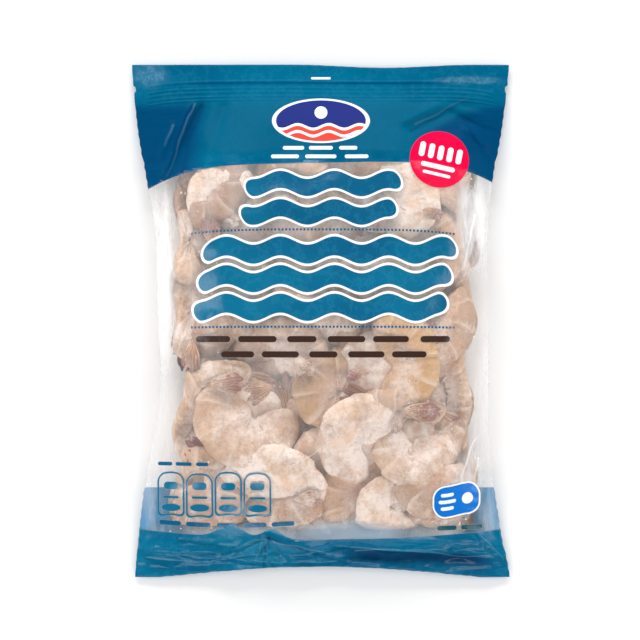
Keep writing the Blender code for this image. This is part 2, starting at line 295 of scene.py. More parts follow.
class Value:
    """A number that varies over a surface. Arithmetic on it adds Math nodes."""

    def __init__(self, net, socket):
        self.net, self.socket = net, socket

    __add__ = __radd__ = maths("ADD")
    __sub__, __rsub__ = maths("SUBTRACT"), maths("SUBTRACT", turned=True)
    __mul__ = __rmul__ = maths("MULTIPLY")
    __truediv__ = maths("DIVIDE")
    __pow__, __rpow__ = maths("POWER"), maths("POWER", turned=True)
    __abs__ = maths("ABSOLUTE")
    least, most = maths("MINIMUM"), maths("MAXIMUM")
    part, whole = maths("FRACT"), maths("FLOOR")
    root, wave = maths("SQRT"), maths("SINE")
    within = maths("COMPARE")   # 1 where it is near a middle by less than a half

    def between(self, start, end):
        return self.within((start + end) / 2, (end - start) / 2)

    def step(self, low, high):
        """0 at low and 1 at high, with a soft change between."""
        sockets = {"Value": self, "From Min": low, "From Max": high}
        return self.net.add("ShaderNodeMapRange", {"interpolation_type": "SMOOTHSTEP"}, sockets)


class Net:
    """The nodes of one material around its Principled shader."""

    def __init__(self, name):
        self.material = bpy.data.materials.new(name)
        self.material.use_nodes = True
        self.tree = self.material.node_tree
        self.shader = self.tree.nodes["Principled BSDF"]

    def add(self, kind, settings=None, inputs=(), output=0):
        node = self.tree.nodes.new(kind)
        for name, value in (settings or {}).items():
            setattr(node, name, value)
        pairs = inputs.items() if isinstance(inputs, dict) else enumerate(inputs)
        for name, value in pairs:
            self.feed(node.inputs[name], value)
        return Value(self, node.outputs[output])

    def feed(self, socket, value):
        if isinstance(value, Value):
            self.tree.links.new(value.socket, socket)
        else:
            socket.default_value = colour(value) if isinstance(value, str) else value

    def set(self, **sockets):
        """Feeds the shader's own sockets, named with _ for each space, and gives the material."""
        for name, value in sockets.items():
            self.feed(self.shader.inputs[name.replace("_", " ")], value)
        return self.material

    @cached_property
    def spot(self):
        """Object coordinates."""
        return self.add("ShaderNodeTexCoord", output="Object")

    @cached_property
    def x(self):
        """Object coordinate across the pouch, in millimetres."""
        return self.add("ShaderNodeSeparateXYZ", {}, (self.spot,), 0) / MM

    @cached_property
    def y(self):
        """Object coordinate along the pouch, in millimetres."""
        return self.add("ShaderNodeSeparateXYZ", {}, (self.spot,), 1) / MM

    def number(self, name):
        return self.add("ShaderNodeAttribute", {"attribute_name": name}, output="Fac")

    def grain(self, scale, detail=3.0, rough=0.55, stretch=None):
        """Noise between 0 and 1 over Object coordinates, with scale in cells per metre."""
        spot = self.spot
        if stretch is not None:
            spot = self.add("ShaderNodeMapping", {}, {"Vector": spot, "Scale": stretch})
        sockets = {"Vector": spot, "Scale": scale, "Detail": detail, "Roughness": rough}
        return self.add("ShaderNodeTexNoise", {}, sockets)

    def mix(self, amount, first, second):
        """Colour between two colours, each a value or a screen colour."""
        settings = {"data_type": "RGBA", "clamp_factor": True}
        return self.add("ShaderNodeMix", settings, {0: amount, 6: first, 7: second}, output=2)

    def paint(self, shade, *coats):
        """A colour with others laid over it, each by its amount."""
        for amount, coat in coats:
            shade = self.mix(amount, shade, coat)
        return shade

    def bump(self, height, distance, strength=1.0):
        sockets = {"Height": height, "Distance": distance, "Strength": strength}
        return self.add("ShaderNodeBump", {}, sockets)


def colour(code):
    """Linear colour of a six-digit screen colour."""
    channels = [int(code[place:place + 2], 16) / 255 for place in (0, 2, 4)]
    linear = [c / 12.92 if c <= 0.04045 else ((c + 0.055) / 1.055) ** 2.4 for c in channels]
    return (*linear, 1.0)


# Shrimp

def shell_template():
    """Straight tube of one shrimp body with its two ends closed."""
    mesh = bmesh.new()
    bmesh.ops.create_cone(mesh, cap_ends=True, segments=AROUND, radius1=1, radius2=1, depth=1)
    long_edges = [edge for edge in mesh.edges if abs(edge.verts[0].co.z - edge.verts[1].co.z) > 0.5]
    bmesh.ops.subdivide_edges(mesh, edges=long_edges, cuts=ALONG, use_grid_fill=False)
    for level in (-0.5, 0.5):
        caps = [face for face in mesh.faces if all(abs(v.co.z - level) < 1e-5 for v in face.verts)]
        for width in (0.25, 0.35):
            bmesh.ops.inset_region(mesh, faces=caps, thickness=width, depth=0)
            caps = [face for face in caps if face.is_valid]
    return finish_mesh(mesh, "shell template")


class Shrimp:
    """Where one shrimp lies: its spine, and the directions out of its back and its side."""

    def __init__(self, x, y, heading, curl, roll, length, depth, level, yellow, brown, frost):
        self.x, self.y, self.level = x * MM, y * MM, level
        self.length, self.depth = length * MM, depth * MM
        self.heading, self.curl = math.radians(heading), math.radians(curl)
        self.tilt = -math.copysign(math.radians(roll), curl)
        self.finish = {"yellow": yellow, "brown": brown, "frost": frost}
        self.slope = (0.0, 0.0)
        self.lift = 0.0
        self.radius = self.length / abs(self.curl)
        steps = np.linspace(0, 1, 200)
        angles = self.bend(steps)
        run = self.length / (len(steps) - 1)
        self.steps = steps
        self.path_x = np.concatenate([[0], np.cumsum(np.cos(angles[:-1]) * run)])
        self.path_y = np.concatenate([[0], np.cumsum(np.sin(angles[:-1]) * run)])
        self.path_x -= (self.path_x.max() + self.path_x.min()) / 2
        self.path_y -= (self.path_y.max() + self.path_y.min()) / 2

    def bend(self, s):
        return -self.curl / 2 + self.curl * np.clip(s, 0, 1) ** 1.1

    def spine(self, s):
        """Points along the body in its own plane. Past its end the body runs on straight."""
        inside = np.clip(s, 0, 1)
        x = np.interp(inside, self.steps, self.path_x)
        y = np.interp(inside, self.steps, self.path_y)
        over = (np.asarray(s) - inside) * self.length
        angle = self.bend(inside)
        return x + np.cos(angle) * over, y + np.sin(angle) * over, angle

    def half_depth(self, s):
        return self.depth / 2 * self.taper(s)

    def half_width(self, s):
        return BODY_HALF_WIDTH * (0.85 + self.depth / (150 * MM)) * self.taper(s)

    def web(self):
        """How far legs and ice reach in from the belly towards the middle of the curl."""
        closed = smooth_step(150, 200, abs(math.degrees(self.curl)))
        return min(max(self.radius * 1.05 - self.depth / 2, 0), (2.5 + 11 * closed) * MM)

    @staticmethod
    def taper(s):
        s = np.clip(s, 0, 1)
        return 1 - 0.5 * s ** 2.2 - 0.12 * (1 - s) ** 6

    def put(self, s, out, side):
        """World places of points given along the spine, out of the back and to the side."""
        x, y, angle = self.spine(s)
        turn = math.copysign(1, self.curl)
        return self.put_flat(x + np.sin(angle) * turn * out, y - np.cos(angle) * turn * out, side)

    def put_flat(self, x, y, side):
        """World places of points given in the plane of the curl."""
        across, rise = turn_by(self.tilt, y, side)
        x, y = turn_by(self.heading, x, across)
        rise = rise + self.slope[0] * x + self.slope[1] * y
        return np.stack([self.x + x, self.y + y, rise + self.lift], -1)

    def skin(self):
        """A few points over the whole body."""
        grids = np.meshgrid(np.linspace(0, 1, 24), np.linspace(0, 2 * math.pi, 16))
        s, angle = (grid.ravel() for grid in grids)
        return self.put(s, self.half_depth(s) * np.cos(angle), self.half_width(s) * np.sin(angle))

    def settle_under(self, ceiling):
        """Leans the shrimp with the film over it and lifts it until its back meets the film."""
        slope_x = ceiling.at(self.x + LEAN_REACH, self.y) - ceiling.at(self.x - LEAN_REACH, self.y)
        slope_y = ceiling.at(self.x, self.y + LEAN_REACH) - ceiling.at(self.x, self.y - LEAN_REACH)
        slopes = (slope / (2 * LEAN_REACH) for slope in (slope_x, slope_y))
        self.slope = [float(np.clip(slope, -STEEPEST, STEEPEST)) for slope in slopes]
        points = keep_in(self.skin())
        room = ceiling.at(points[:, 0], points[:, 1]) - points[:, 2]
        self.lift = float(np.percentile(room, 3)) - max(0, TOP_LEVEL - self.level) * LEVEL_STEP

    def settle_on(self, floor, gap=0.5 * MM):
        """Lays the shrimp on a surface."""
        points = keep_in(self.skin())
        room = points[:, 2] - floor.at(points[:, 0], points[:, 1])
        self.lift = gap - float(np.percentile(room, 4))


def shake(points, coarse, fine):
    """Moves points a little every way, by soft lumps and by small ones."""
    def move(p):
        return noise.noise_vector(p * LUMPS) * coarse + noise.noise_vector(p * PITS) * fine

    return points + np.array([move(Vector(p)) for p in points])


def shell_points(base, shrimp):
    """Body of one shrimp: six plates, each lapped over the next, and legs and ice in its curl."""
    s = base[:, 2] + 0.5
    angle = np.arctan2(base[:, 1], base[:, 0])
    reach = np.hypot(base[:, 0], base[:, 1])
    plate = np.clip(np.searchsorted(SEGMENT_ENDS, s, side="right") - 1, 0, 5)
    along_plate = (s - SEGMENT_ENDS[plate]) / (SEGMENT_ENDS[plate + 1] - SEGMENT_ENDS[plate])
    lap = 0.07 * smooth_step(0.1, 1.0, along_plate) - 0.02
    scallop = smooth_step(1.9, 2.5, np.abs(angle)) * 0.10 * np.abs(2 * along_plate - 1) ** 3
    ends = 0.22 * np.exp(-s / 0.02) + 0.25 * np.exp((s - 1) / 0.02)
    scale = 1 + lap - scallop - ends
    keel = 1 + 0.05 * np.exp(-(angle / 0.35) ** 2) * smooth_step(0.3, 0.8, s)
    inward = np.clip(-np.cos(angle), 0, 1)
    web = smooth_step(0.15, 0.85, inward) * (shrimp.web() > 0)
    out = shrimp.half_depth(s) * np.cos(angle) * scale * keel - shrimp.web() * inward ** 1.5
    rim = np.clip(np.abs(np.sin(angle)) / 0.22, 0, 1) * np.sign(np.sin(angle))
    side = shrimp.half_width(s) * np.sin(angle) * scale * (1 - web)
    side = side + shrimp.half_width(0.3) * 0.66 * rim * web
    heart = -shrimp.web() / 2
    out = heart + (out - heart) * reach
    bulge = (2 * s - 1) * 0.04 * (1 - reach)
    points = shrimp.put(s + bulge, out, side * reach)
    numbers = {"around": np.abs(angle) / math.pi, "plate": along_plate, **shrimp.finish}
    return shake(points, 1.5 * MM, 0.55 * MM), numbers


# Tail fan

FAN_BLADES = (                  # turn from the middle in degrees, drop, length and width in mm
    (-30, -1.2, 22, 8.2),
    (30, -1.2, 22, 8.2),
    (-14, -0.6, 24, 7.6),
    (14, -0.6, 24, 7.6),
    (0, 0.0, 19, 5.0),
)


def blade_template(rings, segments):
    """A thin leaf one unit long, from its root at zero to its tip."""
    mesh = bmesh.new()
    bmesh.ops.create_uvsphere(mesh, u_segments=segments, v_segments=rings, radius=0.5)
    lie = Matrix.Rotation(math.radians(90), 3, "Y")
    bmesh.ops.rotate(mesh, verts=mesh.verts, cent=(0, 0, 0), matrix=lie)
    bmesh.ops.translate(mesh, verts=mesh.verts, vec=(0.5, 0, 0))
    return finish_mesh(mesh, "blade template")


def leaf(template, points, finish, coarse, fine):
    """A copy of a blade with its points moved and shaken, and its numbers."""
    base = points_of(template)
    numbers = {"along": base[:, 0], "around": base[:, 1] * 2, **finish}
    return shaped_copy(template, shake(points, coarse * MM, fine * MM), numbers)


def fan_meshes(template, shrimp):
    """Telson and four uropods that run on from the end of the body."""
    base = points_of(template)
    made = []
    spread = RANDOM.uniform(0.3, 1.1)
    bow = RANDOM.uniform(-3.0, 2.0)
    for turn, drop, length, width in FAN_BLADES:
        length = length * shrimp.length / (76 * MM)
        across = base[:, 1] * width * (1 - 0.4 * np.exp(-(base[:, 0] / 0.35) ** 2))
        ridge = 0.35 * np.exp(-(base[:, 1] / 0.12) ** 2)
        rise = base[:, 2] * (1.5 + ridge) + drop + bow * base[:, 0] ** 2
        ahead, side = turn_by(math.radians(turn * spread), base[:, 0] * length, across)
        s = 1 + (ahead - 2.5) * MM / shrimp.length
        points = shrimp.put(s, side * MM * 0.8, (rise + 1.0 + 6.5 * base[:, 0]) * MM)
        made.append(leaf(template, points, shrimp.finish, 0.9, 0.3))
    return made


def shown_fan_meshes(template, ceiling):
    """The fans that lie against the film, over the shrimp beside them."""
    base = points_of(template)
    made = []
    for root_x, root_y, heading, reach, spread, pink, frost in SHOWN_FANS:
        heading = math.radians(heading)
        for turn, drop, length, width in FAN_BLADES:
            length, width = length * reach / 24, width * (0.3 + 0.55 * reach / 24)
            across = base[:, 1] * width * (1 - 0.5 * np.exp(-(base[:, 0] / 0.4) ** 2))
            x, y = turn_by(heading + math.radians(turn * spread), base[:, 0] * length, across)
            x, y = (root_x + x) * MM, (root_y + y) * MM
            ridge = 0.5 * np.exp(-(base[:, 1] / 0.14) ** 2)
            bow = 2.4 * base[:, 0] * (1 - base[:, 0])
            rise = base[:, 2] * (2.2 + ridge) + drop * 0.8 + bow + 0.6
            points = np.stack([x, y, ceiling.at(x, y) + rise * MM], -1)
            finish = {"yellow": 0.3, "brown": pink, "frost": frost}
            made.append(leaf(template, points, finish, 1.1, 0.5))
    return made


def leg_meshes(template, shrimp, hand):
    """Five swimmerets folded over the belly, on the side that faces the film."""
    base = points_of(template)
    made = []
    for pair in range(5):
        root = 0.14 + 0.15 * pair
        length = RANDOM.uniform(7.5, 11.0) * (1 - 0.08 * pair)
        swing = RANDOM.uniform(0.3, 0.9)
        run = base[:, 0] * length * swing
        drop = base[:, 0] * length * math.sqrt(1 - swing * swing)
        s = root + (run + base[:, 1] * 2.4) * MM / shrimp.length
        out = -shrimp.half_depth(root) * 0.8 - drop * MM
        side = hand * (shrimp.half_width(0.3) * 0.68 + (base[:, 2] * 1.8 - base[:, 0] * 0.8) * MM)
        made.append(leaf(template, shrimp.put(s, out, side), shrimp.finish, 0.8, 0.3))
    return made


# Ice

def ice_template(subdivisions):
    mesh = bmesh.new()
    bmesh.ops.create_icosphere(mesh, subdivisions=subdivisions, radius=1)
    return finish_mesh(mesh, "ice template")


def ice_points(base, shrimp):
    """Ice in the mouth of the curl, a little lower than the body."""
    x, y, angle = shrimp.spine(0.5)
    turn = math.copysign(1, shrimp.curl)
    inward = -np.array([math.sin(angle), -math.cos(angle)]) * turn
    middle = np.array([x, y]) + inward * shrimp.radius * 1.3
    size = shrimp.radius * 0.78
    side = shrimp.half_width(0.3) * 0.62 * base[:, 2]
    points = shrimp.put_flat(middle[0] + size * base[:, 0], middle[1] + size * base[:, 1], side)
    return shake(points, 2.6 * MM, 0.8 * MM)


def crumb_meshes(ceiling):
    """Crystals of frost on the inside of the front film, thicker towards the sides."""
    crystal = ice_template(1)
    base = points_of(crystal)
    made = []
    for _ in range(CRUMBS):
        side = RANDOM.uniform(-1, 1)
        x = math.copysign(abs(side) ** 0.4, side) * 98 * MM
        y = RANDOM.uniform(-136, 98) * MM
        size = RANDOM.uniform(0.35, 0.85) ** 1.5 * MM
        turn = RANDOM.uniform(0.5, 1.3, 3)
        points = base * turn * size + (x, y, float(ceiling.at(x, y)) - 0.8 * MM)
        made.append(shaped_copy(crystal, points, {}))
    return made


def keep_in(points):
    """Draws what would lie in a seal back into the filled part of the pouch."""
    x, y = points[:, 0] - SIDE_SHIFT, points[:, 1]
    swell = np.sin(y / MM * SIDE_SWELL[0] + 2 * np.sign(x)) * SIDE_SWELL[2]
    room = SIDE_ROOM[0] + swell + np.sin(y / MM * SIDE_SWELL[1] + 1) * SIDE_SWELL[3]
    over_x = np.clip(np.abs(x) - room, 0, None)
    inside = np.where(over_x > 0, np.sign(x) * (room + soft_end(over_x, SIDE_ROOM[1])), x)
    points[:, 0] = inside + SIDE_SHIFT
    over_top, over_foot = np.clip(y - TOP_ROOM[0], 0, None), np.clip(FOOT_ROOM[0] - y, 0, None)
    y = np.where(over_top > 0, TOP_ROOM[0] + soft_end(over_top, TOP_ROOM[1]), y)
    points[:, 1] = np.where(over_foot > 0, FOOT_ROOM[0] - soft_end(over_foot, FOOT_ROOM[1]), y)
    return points


def soft_end(over, room):
    return room * (1 - np.exp(-over / room))


def under_print(y):
    """1 where the header's or the foot's print covers the contents."""
    return smooth_step(99 * MM, 108 * MM, y) + smooth_step(-133 * MM, -139 * MM, y)


def press(points, floor, ceiling, over=0.0):
    """Keeps points between the two films."""
    points = keep_in(points)
    low, high = floor.at(points[:, 0], points[:, 1]), ceiling.at(points[:, 0], points[:, 1])
    proud = 1.2 * MM * smooth_step(8 * MM, 16 * MM, high - low) + over
    top = np.maximum(high - 0.6 * MM + proud - 4 * MM * under_print(points[:, 1]), (low + high) / 2)
    points[:, 2] = np.clip(points[:, 2], np.minimum(low + 0.5 * MM, top), top)
    return points


def hold_under(piece, film_map):
    """Keeps a finished piece just under the front film."""
    points = points_of(piece.data)
    points[:, 2] = np.minimum(points[:, 2], film_map.at(points[:, 0], points[:, 1]) - 0.3 * MM)
    piece.data.vertices.foreach_set("co", points.ravel())
    piece.data.update()


def lower_shrimp(count, seed, roll_side):
    """Places of the shrimp under the ones that the photo shows, on an uneven grid."""
    rule = np.random.RandomState(seed)
    rows = []
    for index in range(count):
        column, line = index % 4, index // 4
        x = -66 + 44 * column + 12 * (line % 2) + rule.uniform(-7, 7)
        y = -118 + 222 * (line + 0.1) / (count / 4 - 0.8) + rule.uniform(-6, 6)
        curl = rule.uniform(190, 250) * rule.choice([-1, 1])
        roll = rule.uniform(5, 25) * roll_side
        finish = (rule.uniform(0, 0.5), rule.uniform(0.4, 1.0), rule.uniform(0, 0.45))
        heading, length, depth = rule.uniform(0, 360), rule.uniform(70, 84), rule.uniform(23, 27)
        rows.append((x, y, heading, curl, roll, length, depth, 0, *finish))
    return rows


# Materials

def shell_material():
    net = Net("frozen shell")
    around, plate = net.number("around"), net.number("plate")
    yellow, brown, frost = net.number("yellow"), net.number("brown"), net.number("frost")
    mottle = net.grain(170, 6.0, 0.72)
    streaks = net.grain(330, 4.0, 0.7)
    specks = net.grain(620, 3.0, 0.7)
    belly = around.step(0.45, 0.7)
    # painted shadow: a thin dark line where each plate laps over the next
    lap = (1 - plate.step(0.0, 0.14)) * (1 - belly)
    flesh = net.paint(
        net.mix(yellow, "CDAA93", "CE9F5F"),
        (brown * 0.8, "9C755E"),
        (net.grain(55, 3.0).step(0.4, 0.66) * 0.4, "D09E78"),
        (mottle.step(0.43, 0.68) * 0.36, "A18170"),
        (streaks.step(0.5, 0.74) * (0.13 + brown * 0.37), "846250"),
        (lap * 0.45, "80604C"),
        (plate.step(0.72, 0.98) * (1 - belly) * 0.45, "F3E2D0"),
        (belly * 0.3, "CB9A88"),
    )
    cover = net.grain(62, 8.0, 0.76) * 1.35 + frost * 0.3 + belly * 0.16 - 0.34
    frozen = cover.step(0.36, 0.72) * (0.66 + frost * 0.28)
    sparkle = specks.step(0.56, 0.7) * (0.1 + frozen * 0.25)
    white = (frozen + sparkle).least(1.0)
    rime = net.mix(net.grain(42, 4.0, 0.6).step(0.45, 0.64), "F7E5DA", "EBC5A7")
    pits = 1 - specks.step(0.33, 0.46)
    shade = net.paint(flesh, (white, rime), (pits * 0.2, "A58473"))
    relief = mottle * 0.5 + streaks * 0.4 + frozen * 0.7 + sparkle * 0.4 - pits * 0.25
    normal = net.bump(relief, 1.0 * MM, 0.8)
    return net.set(Base_Color=shade, Roughness=0.38 + white * 0.3, Normal=normal, Specular_IOR_Level=0.45)


def fan_material():
    net = Net("tail fan")
    along, around = net.number("along"), net.number("around")
    pink, frost = net.number("brown"), net.number("frost")
    veins = net.grain(800, 3.0, 0.7)
    stripes = ((around * 10.0 + veins * 7.0).wave() * 0.5 + 0.5) * 0.6 + veins * 0.4
    white = (net.grain(150, 6.0, 0.75) + frost * 0.3 - 0.2).step(0.42, 0.64) * 0.55
    shade = net.paint(
        net.mix(along.step(0.1, 0.9), "C69A75", "9B6A4A"),
        (along.step(0.25, 0.9) * pink, "8A4A50"),
        (stripes.step(0.35, 0.7) * 0.6, "683E32"),
        (abs(around).step(0.62, 0.95) * 0.5, "E4C6B2"),
        (white, "F3E1D5"),
    )
    normal = net.bump(stripes * 0.7 + white * 0.5, 0.5 * MM, 0.8)
    return net.set(Base_Color=shade, Roughness=0.42, Normal=normal)


def leg_material():
    net = Net("swimmerets")
    shade = net.mix(net.number("along").step(0.3, 1.0), "CDB2A0", "AD8575")
    white = (net.grain(300, 4.0, 0.7) + net.number("frost") * 0.3 - 0.1).step(0.42, 0.62)
    shade = net.mix(white * 0.75, shade, "EDE4DD")
    return net.set(Base_Color=shade, Roughness=0.5, Normal=net.bump(net.grain(1100), 0.3 * MM, 0.6))


def ice_material():
    net = Net("frosted ice")
    shade = net.mix(net.grain(130, 5.0, 0.65).step(0.32, 0.68), "C9A893", "F3E3D7")
    shade = net.mix(net.grain(60, 3.0).step(0.5, 0.68) * 0.5, shade, "B98D74")
    normal = net.bump(net.grain(600, 4.0, 0.7), 0.5 * MM, 0.7)
    return net.set(Base_Color=shade, Roughness=0.45, Normal=normal)


def crumb_material():
    net = Net("frost crystals")
    shade = net.mix(net.grain(300, 2.0), "E6D8CC", "FBF8F5")
    return net.set(Base_Color=shade, Roughness=0.35, Normal=net.bump(net.grain(2500), 0.2 * MM, 0.6))


# Print of the film, with painted shade and highlights, in millimetres on the pouch

TEAL = "006B8E"
DEEP_TEAL = "005A80"
LIGHT_TEAL = "2E88A8"
PALE_TEAL = "1585B6"
# painted shade on the header's slope
SLOPE_SHADE_TEAL = "005877"
# painted shade in folds: the header's shoulder wedges and hem line, and dark patches on the foot
FOLD_SHADE_TEAL = "003E6A"
# painted shadow under the foot's fold, and painted shade along dark creases
FOLD_SHADOW_NAVY = "042C56"
# painted sheen near the header's top corners, and painted highlight along pale creases
SHEEN_HIGHLIGHT_TEAL = "6F9AB2"
PAPER = "F4F6F8"
BROWN = "3A261F"
PINK_RED = "FA0742"
BADGE_BLUE = "0072CE"
NAVY = "24307A"
CORAL = "DE4A3C"
DARK_GREEN = "14505C"
CLEAR = "F8F7F7"
EDGE_BLUR = 0.12                # half of the width of a printed edge
WAVE_LENGTH = 34.0
WAVE_RISE = 2.6
WAVE_SHIFT = 3.0                # from each band to the next one up
DASH_FILL, DASH_VARY = 0.78, 0.12    # share of its pitch that a dash fills, and how it varies
DOT_PITCH = 2.3
HEM = 152.6
ZIPPER = (148.2, 145.6, 142.8, 140.6)
FOOT_WAVES = ((-57.0, 11.0, 8.0), (-31.0, 8.0, 6.5))    # middle, half of the width, and rise
# Milky folds of the window: middle, radii and strength
MILKY_FOLDS = (
    ((96.0, 62.0), (11.0, 36.0), 1.0),
    ((94.0, -97.0), (9.0, 18.0), 0.7),
    ((-101.0, 30.0), (9.0, 66.0), 1.0),
    ((20.0, -131.0), (40.0, 7.0), 0.5),
)
# Creases: from x and y to x and y, half of the width, and how much painted shade darkens the
# print along them, or how much painted highlight pales it where it is below zero. Those of the
# window are how much painted highlight whitens the film.
HEADER_CREASES = (
    (-82, 138, -101, 90, 1.5, 0.75),
    (-76, 136, -88, 98, 2.6, 0.35),
    (57, 122, 92, 139, 2.2, 0.5),
    (88, 130, 113, 121, 1.6, 0.4),
    (94, 122, 110, 98, 1.8, 0.35),
    (-80, 138, -98, 92, 1.1, -0.22),
    (-94, 124, -99, 112, 1.6, -0.25),
    (60, 126, 94, 141, 1.1, -0.16),
)
WINDOW_CREASES = (
    (-20, -92, 12, -72, 0.8, 0.3),
    (98, -74, 86, -112, 1.4, 0.4),
    (101, -86, 95, -118, 1.2, 0.35),
    (-98, 64, -93, 28, 1.3, 0.35),
    (97, 66, 90, 34, 1.4, 0.4),
)
FOOT_CREASES = (
    (-34, -138, -36, -162, 1.4, 0.75),
    (-34, -138, -54, -147, 1.3, 0.7),
    (-34, -138, 6, -151, 1.5, 0.8),
    (-54, -147, -112, -152, 1.3, 0.45),
    (6, -151, 40, -160, 1.2, 0.4),
    (96, -134, 115, -154, 1.2, 0.6),
    (-36, -139, -56, -145, 0.8, -0.4),
    (-31, -140, 10, -148, 0.8, -0.45),
    (-38, -142, -42, -156, 0.8, -0.35),
    (22, -145, 108, -150, 0.8, -0.4),
    (-112, -151, -76, -153, 0.8, -0.4),
    (98, -133, 116, -152, 0.8, -0.4),
)


def highest(values):
    return reduce(Value.most, values)


def far(x, y):
    return (x * x + y * y).root()


def capsule(x, y, half_length, radius):
    """1 inside a bar with round ends around the origin."""
    over = (abs(x) - (half_length - radius)).most(0.0)
    return 1 - far(over, y).step(radius - EDGE_BLUR, radius + EDGE_BLUR)


def round_box(x, y, middle, size, corner):
    """1 inside a rectangle with round corners."""
    over_x = (abs(x - middle[0]) - (size[0] / 2 - corner)).most(0.0)
    over_y = (abs(y - middle[1]) - (size[1] / 2 - corner)).most(0.0)
    return 1 - far(over_x, over_y).step(corner - EDGE_BLUR, corner + EDGE_BLUR)


def oval(x, y, middle, radii):
    """0 in the middle of an oval and 1 on its edge."""
    return far((x - middle[0]) / radii[0], (y - middle[1]) / radii[1])


def soft_oval(x, y, middle, radii):
    """1 in the middle of an oval, fading to 0 round its edge."""
    return 1 - oval(x, y, middle, radii).step(0.45, 1.15)


def upright_row(x, y, start, end, level, height, pitch, width):
    """A row of upright bars with round ends."""
    local = (((x - start) / pitch).part() - 0.5) * pitch
    return capsule(y - level, local, height / 2, width / 2) * x.between(start, end)


def dash_row(x, y, start, end, level, height, pitch):
    """A row of dashes of uneven length."""
    cells = (x - start) / pitch
    local = (cells.part() - 0.5) * pitch
    half = ((cells.whole() * 2.3).wave() * DASH_VARY + DASH_FILL) * (pitch / 2)
    return capsule(local, y - level, half, height / 2) * x.between(start, end)


def dot_row(x, y, level):
    dots = (x / DOT_PITCH).part().within(0.5, 0.27) * y.within(level, 0.65)
    return dots * x.within(1.0, 84.0)


def header_edge(x):
    """Lower boundary of the header's print."""
    return 99.8 + x * 0.018 - 13.0 * (abs(x) / 108.0) ** 4.5


def foot_edge(x):
    """Upper boundary of the foot's print, with two waves where the film is folded."""
    edge = -138.6 + 6.0 * (abs(x) / 118.0) ** 2
    for place, half, rise in FOOT_WAVES:
        away = (x - place) / half
        edge = edge + math.e ** (away * away * -1.0) * rise
    return edge


class Print:
    """Colour of a film, and its cover where it isn't all print, built up by layers."""

    def __init__(self, net, shade, cover=None):
        self.net, self.shade, self.cover = net, shade, cover
        self.x, self.y = net.x, net.y

    def lay(self, mask, shade):
        self.shade = self.net.mix(mask, self.shade, shade)
        if self.cover is not None:
            self.cover = self.cover.most(mask)


def wave_bands(layers, middle, size, count, band, outline, shade):
    """Broad waves one above the other, with round ends and a pale outline."""
    pitch = (size[1] - band) / (count - 1)
    swell = (layers.x * (2 * math.pi / WAVE_LENGTH)).wave() * WAVE_RISE
    cells = (layers.y - swell - middle[1]) / pitch + count / 2
    local_y = (cells.part() - 0.5) * pitch
    local_x = layers.x - middle[0] - (cells.whole() - (count - 1) / 2) * WAVE_SHIFT
    for rim, ink in ((outline, PAPER), (0, shade)):
        body = capsule(local_x, local_y, size[0] / 2 + rim, band / 2 + rim)
        layers.lay(body * cells.between(0, count), ink)


def crease(x, y, x0, y0, x1, y1, half, strength):
    """How much a straight crease shows, less towards its end."""
    run_x, run_y = x1 - x0, y1 - y0
    square = run_x * run_x + run_y * run_y
    t = ((x - x0) * (run_x / square) + (y - y0) * (run_y / square)).most(0.0).least(1.0)
    away = far(x - x0 - t * run_x, y - y0 - t * run_y)
    return (1 - away.step(0.0, half)) * (1 - t * 0.6) * strength


def bent_places(net):
    """X and y moved a little by noise, so that nothing drawn with them is quite straight."""
    return net.x + (net.grain(34, 2.0) - 0.5) * 9.0, net.y + (net.grain(27, 2.0) - 0.5) * 9.0


def with_crease_shading(net, shade, rows):
    """A print's colour with painted shade along dark creases and painted highlight along pale ones, none
    of them quite straight.
    """
    places = bent_places(net)
    for row in rows:
        # dark rows give painted shade along a crease, pale rows painted highlight
        tone = FOLD_SHADOW_NAVY if row[-1] > 0 else SHEEN_HIGHLIGHT_TEAL
        shade = net.mix(crease(*places, *row[:-1], abs(row[-1])), shade, tone)
    return shade


def film_haze(net):
    """How much the bare film whitens what lies under it, with painted highlight along its creases."""
    x, y = net.x, net.y
    streaks = net.grain(75, 4.0, 0.62, stretch=(1.0, 0.22, 1.0)).step(0.38, 0.7)
    margin = abs(x).step(93.0, 105.0)
    folds = sum(soft_oval(x, y, middle, radii) * strength for middle, radii, strength in MILKY_FOLDS)
    upper = y.step(10.0, 60.0) * 0.05
    foot = (1 - y.step(-135.0, -126.0)) * (1 - abs(x).step(78.0, 94.0)) * 0.2
    haze = 0.08 + upper + foot + streaks * 0.13 + margin * streaks * 0.1
    # painted highlight: thin pale lines along the window's creases
    places = bent_places(net)
    lines = highest(crease(*places, *row) for row in WINDOW_CREASES)
    return haze + folds * (0.1 + streaks * 0.45) + lines


def header_lines(net):
    """Ridges of the hem and the zipper, 1 along each, bent down a little at both sides."""
    wide = abs(net.x)
    level = net.y + (wide / 112.0) ** 8 * 3.5 + (net.x * 0.05).wave() * 0.3
    zipper = highest(1 - abs(level - place).step(0.1, 1.0) for place in ZIPPER)
    lines = (1 - abs(level - HEM).step(0.2, 1.3)).most(zipper * (0.2 + wide.step(45.0, 95.0) * 0.6))
    return lines * (1 - wide.step(109.0, 112.0))


def side_wrinkles(net):
    """Short wrinkles that run in from the sides."""
    return net.grain(120, 2.0, 0.5, stretch=(0.35, 2.2, 1.0))


def crumple(net):
    """Long flat facets with sharp edges, as in film that is drawn together at the foot."""
    wide = net.add("ShaderNodeMapping", {}, {"Vector": net.spot, "Scale": (0.4, 1.5, 1.0)})
    bend = net.add("ShaderNodeTexNoise", {}, {"Vector": net.spot, "Scale": 40.0}, output="Color")
    small = net.add("ShaderNodeVectorMath", {"operation": "SCALE"}, {"Vector": bend, "Scale": 0.012})
    bent = net.add("ShaderNodeVectorMath", {"operation": "ADD"}, (wide, small))
    sockets = {"Vector": bent, "Scale": 62.0}
    edges = net.add("ShaderNodeTexVoronoi", {"feature": "DISTANCE_TO_EDGE"}, sockets)
    return edges.step(0.0, 0.35)


